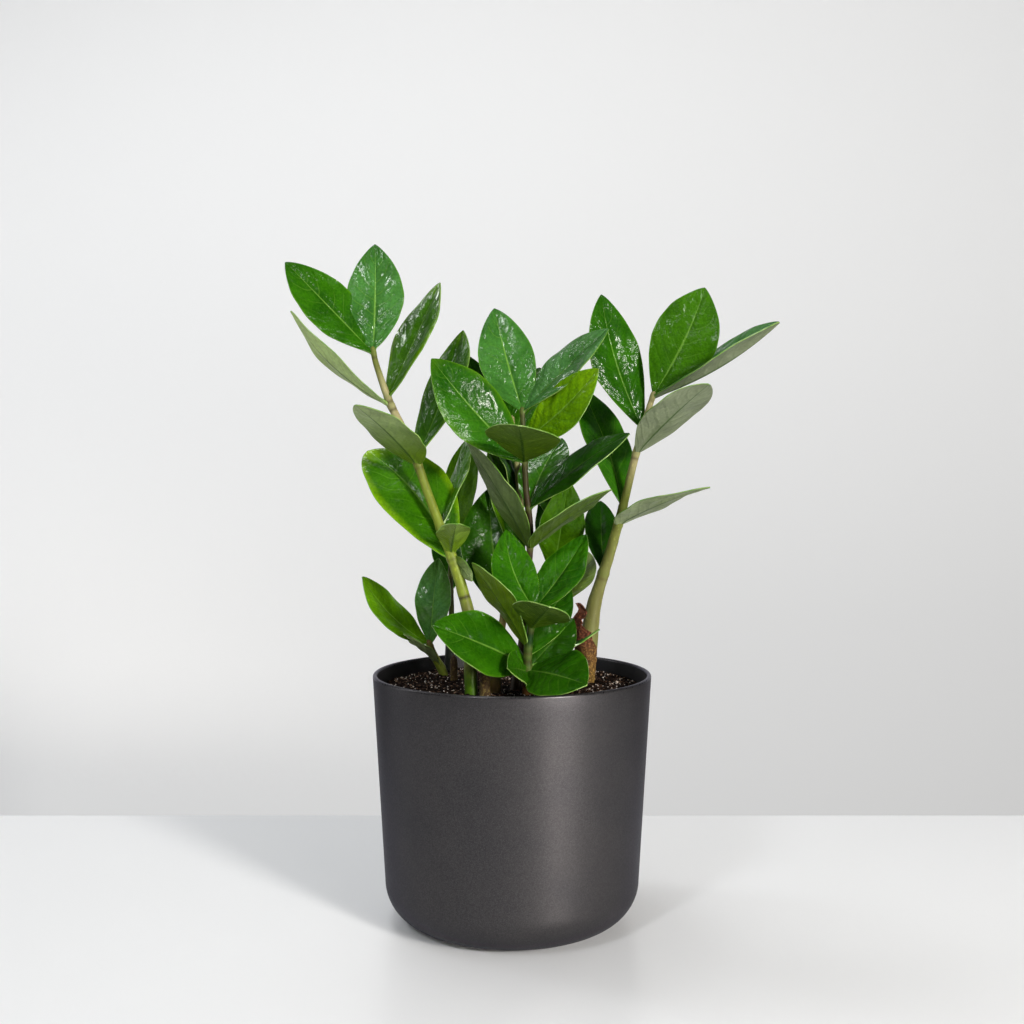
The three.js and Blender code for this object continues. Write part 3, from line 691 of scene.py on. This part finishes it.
def through(a, b, c, d, share):
    """A smooth curve from b to c that heads from a towards d."""
    square, cube = share * share, share * share * share
    bend = (2 * a - 5 * b + 4 * c - d) * square
    twist = (3 * b - a - 3 * c + d) * cube
    return 0.5 * ((2 * b) + (c - a) * share + bend + twist)


def stem_line(points):
    """Middle points and radii along a stem, closely spaced from its foot to its tip."""
    middles = [Vector(p[:3]) for p in points]
    middles = [2 * middles[0] - middles[1], *middles, 2 * middles[-1] - middles[-2]]
    line = []
    for span in range(len(points) - 1):
        for step in range(STEM["steps_per_span"]):
            share = step / STEM["steps_per_span"]
            middle = through(*middles[span:span + 4], share)
            line.append((middle, blend(points[span][3], points[span + 1][3], share)))
    line.append((middles[-2], points[-1][3]))
    return line


def stem_at(line, height):
    """The stem's middle, radius and direction at a height, straight on past its tip."""
    for (low, low_radius), (high, high_radius) in zip(line, line[1:]):
        if high.z >= height:
            share = (height - low.z) / (high.z - low.z)
            return low.lerp(high, share), blend(low_radius, high_radius, share), (high - low).normalized()
    low, high = line[-2][0], line[-1][0]
    along = (high - low).normalized()
    return high + along * (height - high.z), line[-1][1], along


def bark_colour(bands, height):
    if height <= bands[0][0]:
        return Vector(BARK[bands[0][1]])
    for (low, first), (high, second) in zip(bands, bands[1:]):
        if height <= high:
            return Vector(BARK[first]).lerp(Vector(BARK[second]), ease(low, high, height))
    return Vector(BARK[bands[-1][1]])


def nearness(places, height, reach, power=2):
    """1 where the height is one of the places, and less the further it is from all of them."""
    return max((math.exp(-((height - place) / reach) ** power) for place in places), default=0)


def stem_colour(bands, joints, scars, height):
    """The bark's colour, with a dark ring under each joint, a green knee on it, and the scars."""
    ring = nearness(joints, height + STEM["ring_drop"], STEM["ring_height"])
    scar = nearness(scars, height, STEM["scar_height"], 4)
    knee = nearness(joints, height, STEM["knee_height"])
    colour = bark_colour(bands, height)
    colour = colour.lerp(Vector(BARK["joint_ring"]), 0.75 * ring)
    colour = colour.lerp(Vector(BARK["scar"]), 0.9 * scar)
    return colour.lerp(Vector(BARK["joint_knee"]), 0.45 * knee)


def stem_tube(name, points, bands, joints, bark, rough_top=False, scars=()):
    """A stem with swollen joints, bumpy bark and a closed top, which is rounded or else rough."""
    line = stem_line(points)
    foot, top, end_radius = points[0][2], points[-1][2], points[-1][3]
    rows = int((top - foot + end_radius) / STEM["row_height"])
    tube = fresh_grid(name, STEM["sides"], rows)
    colours = []
    for vertex in tube.data.vertices:
        share = (vertex.co.y + 1) / 2
        angle = (vertex.co.x + 1) * math.pi
        height = foot + (top + end_radius - foot) * share
        middle, radius, along = stem_at(line, height)
        swell = sum(math.exp(-((height - joint) / STEM["joint_height"]) ** 2) for joint in joints)
        radius *= 1 + STEM["joint_swell"] * min(swell, 1)
        over = (height - top) / end_radius
        if over > 0:
            radius *= max(1 - 1.6 * over, 0) if rough_top else math.sqrt(max(1 - over * over, 0))
        if share == 0:
            radius = 0
        side = Vector((0, 1, 0)).cross(along).normalized()
        front = along.cross(side)
        around = Vector((math.cos(angle), math.sin(angle), 0))
        bumps = 1 + STEM["bumps"] * noise.noise(middle * 0.25 + around * 0.6)
        out = side * math.cos(angle) + front * math.sin(angle)
        vertex.co = (middle + out * radius * bumps) * MM
        colours.append((*stem_colour(bands, joints, scars, height), 1))
    paint_tint(tube, colours)
    edit_whole(tube, merge_close, face_outwards)
    tube.data.materials.append(bark)
    bpy.ops.object.shade_smooth()
    return tube


# ------------------------ leaflets

def leaf_outline(s, broadest_at, fullness):
    """Half the blade's width, as a share of half its full width, from base (0) to tip (1)."""
    power = math.log(0.5) / math.log(broadest_at)
    return max(math.sin(math.pi * s ** power), 0) ** fullness


def leaf_axes(leaf, base):
    along = Vector(leaf["tip"]) - base
    length = along.length
    along.normalize()
    up = Vector(leaf["face"])
    up = (up - along * up.dot(along)).normalized()
    return base, along, along.cross(up), up, length


def fine_form(s, t, reach, phase):
    """The midrib's groove, the quilting between the side veins, the wave of the edge and the buckles."""
    off_middle = abs(t)
    groove = -LEAF["rib_depth"] * math.exp(-(reach / LEAF["rib_width"]) ** 2) * (1 - LEAF["rib_fading"] * s)
    sweep = LEAF["vein_sweep"] * off_middle ** LEAF["vein_curve"]
    turn = s * LEAF["vein_pairs"] - sweep + (0.5 if t > 0 else 0)
    off_vein = abs((turn % 1) - 0.5) * 2
    inside = ease(0.02, 0.12, off_middle) * (1 - ease(0.75, 0.98, off_middle)) * (1 - ease(0.85, 1, s))
    quilt = LEAF["vein_depth"] * (1 - off_vein ** 2.2) * (inside * ease(0.05, 0.15, s))
    lag = LEAF["wave_lag"] if t > 0 else 0
    wave = LEAF["wave"] * off_middle ** 2 * math.sin(2 * math.pi * LEAF["waves"] * s + phase + lag)
    buckle = LEAF["buckle"] * noise.noise(Vector((5 * s, 2.2 * t, phase * 9))) * ease(0.03, 0.2, off_middle)
    return groove + quilt + (wave + buckle) * math.sin(math.pi * s)


def leaf_point(leaf, axes, s, t, phase):
    """The same rule as the part's blades, with fine form laid over it."""
    base, along, side, up, length = axes
    bow = 4 * s * (1 - s)
    ripple = 1 + LEAF["ripple"] * noise.noise(Vector((7 * s, 3 if t > 0 else 0, phase * 5)))
    outline = leaf["width"] / 2 * leaf_outline(s, leaf["broadest_at"], leaf["fullness"]) * ripple
    least = blend(LEAF["stalk_radius"], LEAF["tip_half_width"], s)
    reach = max(outline, least) * abs(t)
    folded = leaf["fold"] + (leaf["curl"] if t > 0 else 0)
    lift = math.radians(folded) * (1 - LEAF["edge_flattening"] * abs(t))
    point = base + along * length * s
    point += up * length * leaf["arch"] * bow
    point += side * (length * leaf["bend"] * bow + math.copysign(reach * math.cos(lift), t))
    return point + up * (reach * math.sin(lift) + fine_form(s, t, reach, phase))


def leaf_blade(name, leaf, base, finishes):
    """A leaflet with real thickness, which grows thicker into its stalk and thinner to its edge."""
    blade = fresh_grid(name, LEAF["columns"], LEAF["rows"])
    axes = leaf_axes(leaf, base)
    phase = chance.uniform(0, 2 * math.pi)
    shade = chance.uniform(-0.08, 0.08)
    yellow, dark, gloss = leaf["tone"]
    stalk = blade.vertex_groups.new(name="stalk")
    thin = LEAF["thickness"] / LEAF["stalk_thickness"]
    places, tints = [], []
    for vertex in blade.data.vertices:
        s = (vertex.co.y + 1) / 2
        t = math.copysign(abs(vertex.co.x) ** LEAF["middle_crowding"], vertex.co.x)
        vertex.co = leaf_point(leaf, axes, s, t, phase) * MM
        weight = blend(thin, 1, max(1 - s / LEAF["stalk_share"], 0))
        stalk.add([vertex.index], weight * blend(1, LEAF["edge_thinning"], abs(t) ** 4), "REPLACE")
        # rim: the painted glow of light shining through the edge, where golden is set; the dark is taken off
        # there
        rim = leaf["golden"] * max(ease(0.76, 1, abs(t)), ease(0.84, 1, s))
        places.append(((t + 1) / 2, s))
        tints.append((yellow + shade + 1.6 * rim, max(dark + shade, 0) * (1 - rim), gloss, leaf["pale"]))
    uv = blade.data.uv_layers.active.data
    for loop in blade.data.loops:
        uv[loop.index].uv = places[loop.vertex_index]
    paint_tint(blade, tints)
    for finish in finishes:
        blade.data.materials.append(finish)
    thicken(blade, LEAF["stalk_thickness"], offset=0, vertex_group="stalk",
            material_offset=1, material_offset_rim=2)
    blade.vertex_groups.clear()
    smooth(50)
    return blade


def leafy_stem(name, frond, blade_finishes, bark):
    line = stem_line(frond["stem"])
    joints = sorted({leaf["at"] for leaf in frond["leaflets"]})
    scars = frond.get("scars", ())
    pieces = [stem_tube(name + "_stem", frond["stem"], frond["bark"], joints, bark, scars=scars)]
    for number, leaf in enumerate(frond["leaflets"]):
        base = stem_at(line, leaf["at"])[0]
        pieces.append(leaf_blade(f"{name}_leaflet_{number}", leaf, base, blade_finishes))
    settle(join(name + "_leafy", pieces), "leaf", name)


# ------------------------ pot

def arc(x, z, radius, start, end, steps):
    """Points round a middle in the XZ plane, from one angle to the other, in degrees."""
    angles = [math.radians(blend(start, end, step / steps)) for step in range(steps + 1)]
    return [(x + radius * math.cos(angle), z + radius * math.sin(angle)) for angle in angles]


def pot_profile():
    """The pot's cross-section in the XZ plane, from under its foot up and over the lip to the inside."""
    foot, rim, height = POT["foot_radius"], POT["rim_radius"], POT["height"]
    corner, wall, lip, floor = POT["corner_radius"], POT["wall"], POT["lip"], POT["floor"]
    inner, edge = corner - wall, height - lip
    up = [step / POT["wall_steps"] for step in range(1, POT["wall_steps"])]
    outside = [(blend(foot, rim, share), blend(corner, edge, share)) for share in up]
    inside = [(blend(foot, rim, 1 - share) - wall, blend(corner + floor, edge, 1 - share)) for share in up]
    return [
        (0, 0),
        *arc(foot - corner, corner, corner, -90, 0, POT["corner_steps"]),
        *outside,
        *arc(rim - lip, edge, lip, 0, 180, POT["lip_steps"]),
        *inside,
        *arc(foot - corner, inner + floor, inner, 0, -90, POT["inner_corner_steps"]),
        (0, floor),
    ]


def make_pot():
    profile = [metres(x, 0, z) for x, z in pot_profile()]
    pot = fresh_piece("pot_body", profile, [(i, i + 1) for i in range(len(profile) - 1)], [])
    edit_whole(pot, spin_round, select_whole, merge_close, face_outwards)
    for finish in (pot_satin("pot_satin", 0.46), pot_inside_painted_shade(), pot_satin("pot_lip", 0.29)):
        pot.data.materials.append(finish)
    for face in pot.data.polygons:
        inwards = face.normal.x * face.center.x + face.normal.y * face.center.y < 0
        if face.center.z > (POT["height"] - POT["lip"]) * MM:
            face.material_index = 2
        elif inwards:
            # the inside wall gets the painted shade
            face.material_index = 1
    smooth(50)
    settle(pot, "pot", "pot")


# ------------------------ soil

def soil_height(radius):
    share = min(radius / POT["rim_radius"], 1)
    return SOIL["edge_height"] + SOIL["mound"] * math.cos(share * math.pi / 2)


def soil_bump(x, y):
    place = Vector((x, y, 3))
    return SOIL["roughness"] * (noise.noise(place * 0.18) + 0.8 * noise.noise(place * 0.6))


def soil_edge():
    share = (SOIL["edge_height"] - POT["corner_radius"]) / (POT["height"] - POT["corner_radius"])
    return blend(POT["foot_radius"], POT["rim_radius"], share) - POT["wall"] - SOIL["gap_to_wall"]


def resize_round_middle(share):
    bpy.ops.transform.resize(value=(share, share, 1), center_override=(0, 0, 0))


def draw_rings_in():
    for ring in range(SOIL["rings"], 0, -1):
        bpy.ops.mesh.extrude_region_move()
        resize_round_middle((ring - 1) / ring)


def make_soil_bed():
    """A disc of potting mix, drawn in ring by ring from the pot's wall, with a skirt down the inside."""
    edge = soil_edge()
    put_down_tools()
    bpy.ops.mesh.primitive_circle_add(vertices=SOIL["segments"], radius=edge * MM, fill_type="NOTHING")
    bed = bpy.context.object
    bed.name = bed.data.name = "soil_bed"
    edit_whole(bed, draw_rings_in, merge_close)
    for vertex in bed.data.vertices:
        x, y = vertex.co.x / MM, vertex.co.y / MM
        vertex.co.z = (soil_height(math.hypot(x, y)) + soil_bump(x, y)) * MM
    bed.data.update()
    add_skirt_and_floor(bed, edge)
    bed.data.materials.append(soil_mix())
    return bed


def add_skirt_and_floor(bed, edge):
    set_mode("EDIT")
    bpy.ops.mesh.select_all(action="DESELECT")
    set_mode("OBJECT")
    for vertex in bed.data.vertices:
        vertex.select = math.hypot(vertex.co.x, vertex.co.y) > (edge - 0.2) * MM
    for line in bed.data.edges:
        line.select = all(bed.data.vertices[i].select for i in line.vertices)
    set_mode("EDIT")
    bpy.ops.mesh.extrude_region_move(TRANSFORM_OT_translate={"value": (0, 0, -SOIL["depth"] * MM)})
    resize_round_middle(SOIL["skirt_taper"])
    bpy.ops.mesh.edge_face_add()
    select_whole()
    face_outwards()
    set_mode("OBJECT")
    smooth(60)


def grain_shapes():
    """A few lumps with few faces, as lists of corners and faces."""
    shapes = []
    for number in range(CRUMBS["shapes"]):
        put_down_tools()
        bpy.ops.mesh.primitive_ico_sphere_add(subdivisions=1, radius=1)
        lump = bpy.context.object
        apart = Vector((number * 5, 0, 0))
        corners = [v.co * (1 + 0.45 * noise.noise(v.co * 1.3 + apart)) for v in lump.data.vertices]
        shapes.append((corners, [tuple(p.vertices) for p in lump.data.polygons]))
        bpy.data.objects.remove(lump)
    return shapes


def scatter_spot(edge):
    radius = edge * math.sqrt(chance.random())
    angle = chance.uniform(0, 2 * math.pi)
    return radius * math.cos(angle), radius * math.sin(angle)


def grain_colour():
    left = chance.random()
    for colour, share in GRAIN_COLOURS:
        left -= share
        if left <= 0:
            return colour
    return GRAIN_COLOURS[0][0]


def make_grains():
    """Crumbs, bark chips, pale bits and fibres that lie on the soil, as one mesh."""
    shapes = grain_shapes()
    edge = soil_edge() - CRUMBS["bare_edge"]
    corners, faces, colours = [], [], []

    def lay(shape, x, y, sizes, lift, colour):
        turn = chance.uniform(0, 2 * math.pi)
        tip = chance.uniform(-CRUMBS["tip"], CRUMBS["tip"])
        cos, sin, rise = math.cos(turn), math.sin(turn), math.sin(tip)
        start = len(corners)
        z = soil_height(math.hypot(x, y)) + soil_bump(x, y) + lift
        for corner in shape[0]:
            px, py, pz = corner.x * sizes[0], corner.y * sizes[1], corner.z * sizes[2]
            corners.append(metres(x + (px * cos - py * sin), y + (px * sin + py * cos), z + (pz + px * rise)))
            colours.append((*colour, 1))
        faces.extend(tuple(start + i for i in face) for face in shape[1])

    for _ in range(CRUMBS["grains"]):
        x, y = scatter_spot(edge)
        size = chance.uniform(*CRUMBS["grain_size"])
        if chance.random() < CRUMBS["chip_share"]:
            size *= CRUMBS["chip_growth"]
        sizes = [size * chance.uniform(low, high) for low, high in ((0.8, 1.7), (0.6, 1.0), (0.4, 0.9))]
        lay(chance.choice(shapes), x, y, sizes, size * 0.25, grain_colour())
    for _ in range(CRUMBS["pale_bits"]):
        x, y = scatter_spot(edge)
        size = chance.uniform(*CRUMBS["pale_size"])
        lay(chance.choice(shapes), x, y, (size, size, size), CRUMBS["pale_lift"], PALE_BIT)
    for _ in range(CRUMBS["fibres"]):
        x, y = scatter_spot(edge)
        length, thickness = chance.uniform(*CRUMBS["fibre_length"]), CRUMBS["fibre_thickness"]
        lay(shapes[0], x, y, (length, thickness, thickness), CRUMBS["fibre_lift"], FIBRE)

    crumbs = fresh_piece("soil_crumbs", corners, [], faces)
    paint_tint(crumbs, colours)
    crumbs.data.materials.append(soil_grains())
    return crumbs


def make_soil():
    settle(make_soil_bed(), "soil", "soil")
    settle(make_grains(), "soil")


# ------------------------ dry pieces

def station_at(height):
    stations = SHEATH["stations"]
    for low, high in zip(stations, stations[1:]):
        if height <= high[0]:
            share = (height - low[0]) / (high[0] - low[0])
            return [blend(a, b, share) for a, b in zip(low, high)]
    return stations[-1]


def make_sheath(husk):
    """A papery scale that wraps the foot of the right stem, wrinkled, with a thin and frayed tongue."""
    line = stem_line(FRONDS[SHEATH["stem"]]["stem"])
    sheet = fresh_grid("sheath_papery", SHEATH["columns"], SHEATH["rows"])
    low, high = SHEATH["stations"][0][0], SHEATH["stations"][-1][0]
    colours = []
    for vertex in sheet.data.vertices:
        across = vertex.co.x
        height = blend(low, high, (vertex.co.y + 1) / 2)
        _, half_angle, clear = station_at(height)
        middle, radius, _ = stem_at(line, height)
        tongue = ease(*SHEATH["tongue"], height)
        fray = noise.noise(Vector((height * 0.55, 7 * (1 if across > 0 else -1), 2)))
        half_angle *= blend(1, SHEATH["narrowing"], tongue) * (1 + blend(0.16, 0.5, tongue) * fray)
        sway = SHEATH["sway"] * tongue * math.sin(height * 0.5)
        angle = math.radians(SHEATH["facing"] + half_angle * across + sway)
        out = Vector((math.cos(angle), math.sin(angle), 0))
        folds = 0.35 * noise.noise(Vector((across * 5, height * 0.09, 1)))
        crinkles = 0.25 * noise.noise(Vector((across * 14, height * 0.5, 4)))
        cupped = tongue * (0.6 * abs(across) ** 2 - 0.3)
        off = SHEATH["closest"] + max(clear - SHEATH["slack"], 0) * (1 - out.x) / 2 * SHEATH["flare"]
        vertex.co = (middle + out * (radius + off + (folds + crinkles + cupped))) * MM
        colours.append((*bark_colour(SHEATH["bark"], height + 3 * fray), 1))
    paint_tint(sheet, colours)
    sheet.data.materials.append(husk)
    thicken(sheet, SHEATH["thickness"], offset=-1)
    edit_whole(sheet, face_outwards)
    smooth(50)
    settle(sheet, "dry_sheath", "sheath_right")


def make_stub(name, points, husk):
    bands = [(points[0][2], "husk_olive"), (points[-1][2] + 5, "husk_brown")]
    stub = stem_tube(name + "_husk", points, bands, [], husk, rough_top=True)
    settle(stub, "dry_stub", name)


# ------------------------ room, light and camera, in metres

FLOOR = {"size": (6, 4, 0.04), "middle": (0, -1.822, -0.0203), "colour": (0.82, 0.835, 0.85)}
WALL = {"size": (2.2, 2.4, 1), "middle": (0, 1.3, 0), "colour": (0.86, 0.875, 0.89), "glow": 0.125}
CAMERA = {"location": (0, -0.6, 0.2201), "rotation": (math.radians(90 - 1.51), 0, 0)}
WHITE, SUN, LOW_SUN, SKY = (1, 1, 1), (1, 0.96, 0.91), (1, 0.93, 0.86), (0.97, 0.985, 1)


def plain_finish(name, colour, roughness, specular, glow=0.0):
    look = Finish(name, Base_Color=colour, Roughness=roughness, Specular_IOR_Level=specular,
                  Emission_Color=WHITE, Emission_Strength=glow)
    return look.material


def make_stage():
    put_down_tools()
    bpy.ops.mesh.primitive_cube_add(size=1, location=FLOOR["middle"], scale=FLOOR["size"])
    floor = bpy.context.object
    floor.name = "floor"
    floor.data.materials.append(plain_finish("floor_pale", FLOOR["colour"], 0.30, 0.35))
    bpy.ops.mesh.primitive_plane_add(size=1, location=WALL["middle"], rotation=(math.radians(90), 0, 0))
    wall = bpy.context.object
    wall.name = "wall"
    wall.scale = WALL["size"]
    wall.data.materials.append(plain_finish("wall_pale", WALL["colour"], 0.9, 0.1, WALL["glow"]))


def softbox(name, place, target, width, height, power, colour=WHITE, spread=180):
    """A lit panel at a place, turned to its target, whose light fans out by the spread in degrees."""
    bpy.ops.object.light_add(type="AREA", location=place)
    lamp = bpy.context.object
    lamp.name = name + "_softbox"
    lamp.data.shape = "RECTANGLE"
    lamp.data.size, lamp.data.size_y = width, height
    lamp.data.energy = power
    lamp.data.color = colour
    lamp.data.spread = math.radians(spread)
    aim = Vector(target) - Vector(place)
    lamp.rotation_euler = aim.to_track_quat("-Z", "Y").to_euler()


def make_light():
    softbox("key", (1.18, -1.50, 0.80), (0, 0, 0.15), 0.28, 0.28, power=37, colour=SUN)
    softbox("low", (0.98, -1.18, 0.18), (0, 0, -0.10), 0.95, 0.20, power=1.05, colour=LOW_SUN, spread=30)
    softbox("front", (-0.545, -0.944, 0.958), (0, 0, 0.25), 0.16, 0.26, power=4.4, colour=SKY)
    softbox("top", (-0.3, 0.0, 1.5), (0, 0, 0.1), 1.3, 1.3, power=3.2)
    softbox("back", (-0.26, 0.29, 1.42), (0, 0, 0.1), 0.34, 0.34, power=3.4)
    softbox("left", (-1.05, 0.42, 1.15), (0, 0, 0.2), 0.18, 0.18, power=2.4, colour=SKY)
    softbox("wall", (-2.1, 0.55, 0.35), (-0.35, 1.3, 0.25), 1.0, 2.0, power=7.0, spread=110)
    world = bpy.data.worlds.new("soft_room")
    bpy.context.scene.world = world
    world.use_nodes = True
    background = world.node_tree.nodes["Background"]
    background.inputs["Color"].default_value = (0.97, 0.98, 1, 1)
    background.inputs["Strength"].default_value = 0.10


def make_camera():
    bpy.ops.object.camera_add(**CAMERA)
    camera = bpy.context.object
    camera.name = "camera"
    camera.data.sensor_width = 36
    camera.data.lens = 41.85
    bpy.context.scene.camera = camera


# ------------------------ the plant

def make_plant():
    blade_finishes = [leaf_top(), leaf_underside(), leaf_rim()]
    bark = stem_bark()
    for name, frond in FRONDS.items():
        leafy_stem(name, frond, blade_finishes, bark)
    papery = dry_husk("husk_papery", 0.45)
    woody = dry_husk("husk_woody", 0.14)
    make_sheath(papery)
    for name, points in STUBS.items():
        make_stub(name, points, woody)


make_camera()
make_light()
make_stage()
make_pot()
make_soil()
make_plant()
put_down_tools()
bpy.context.scene.view_settings.view_transform = "Standard"
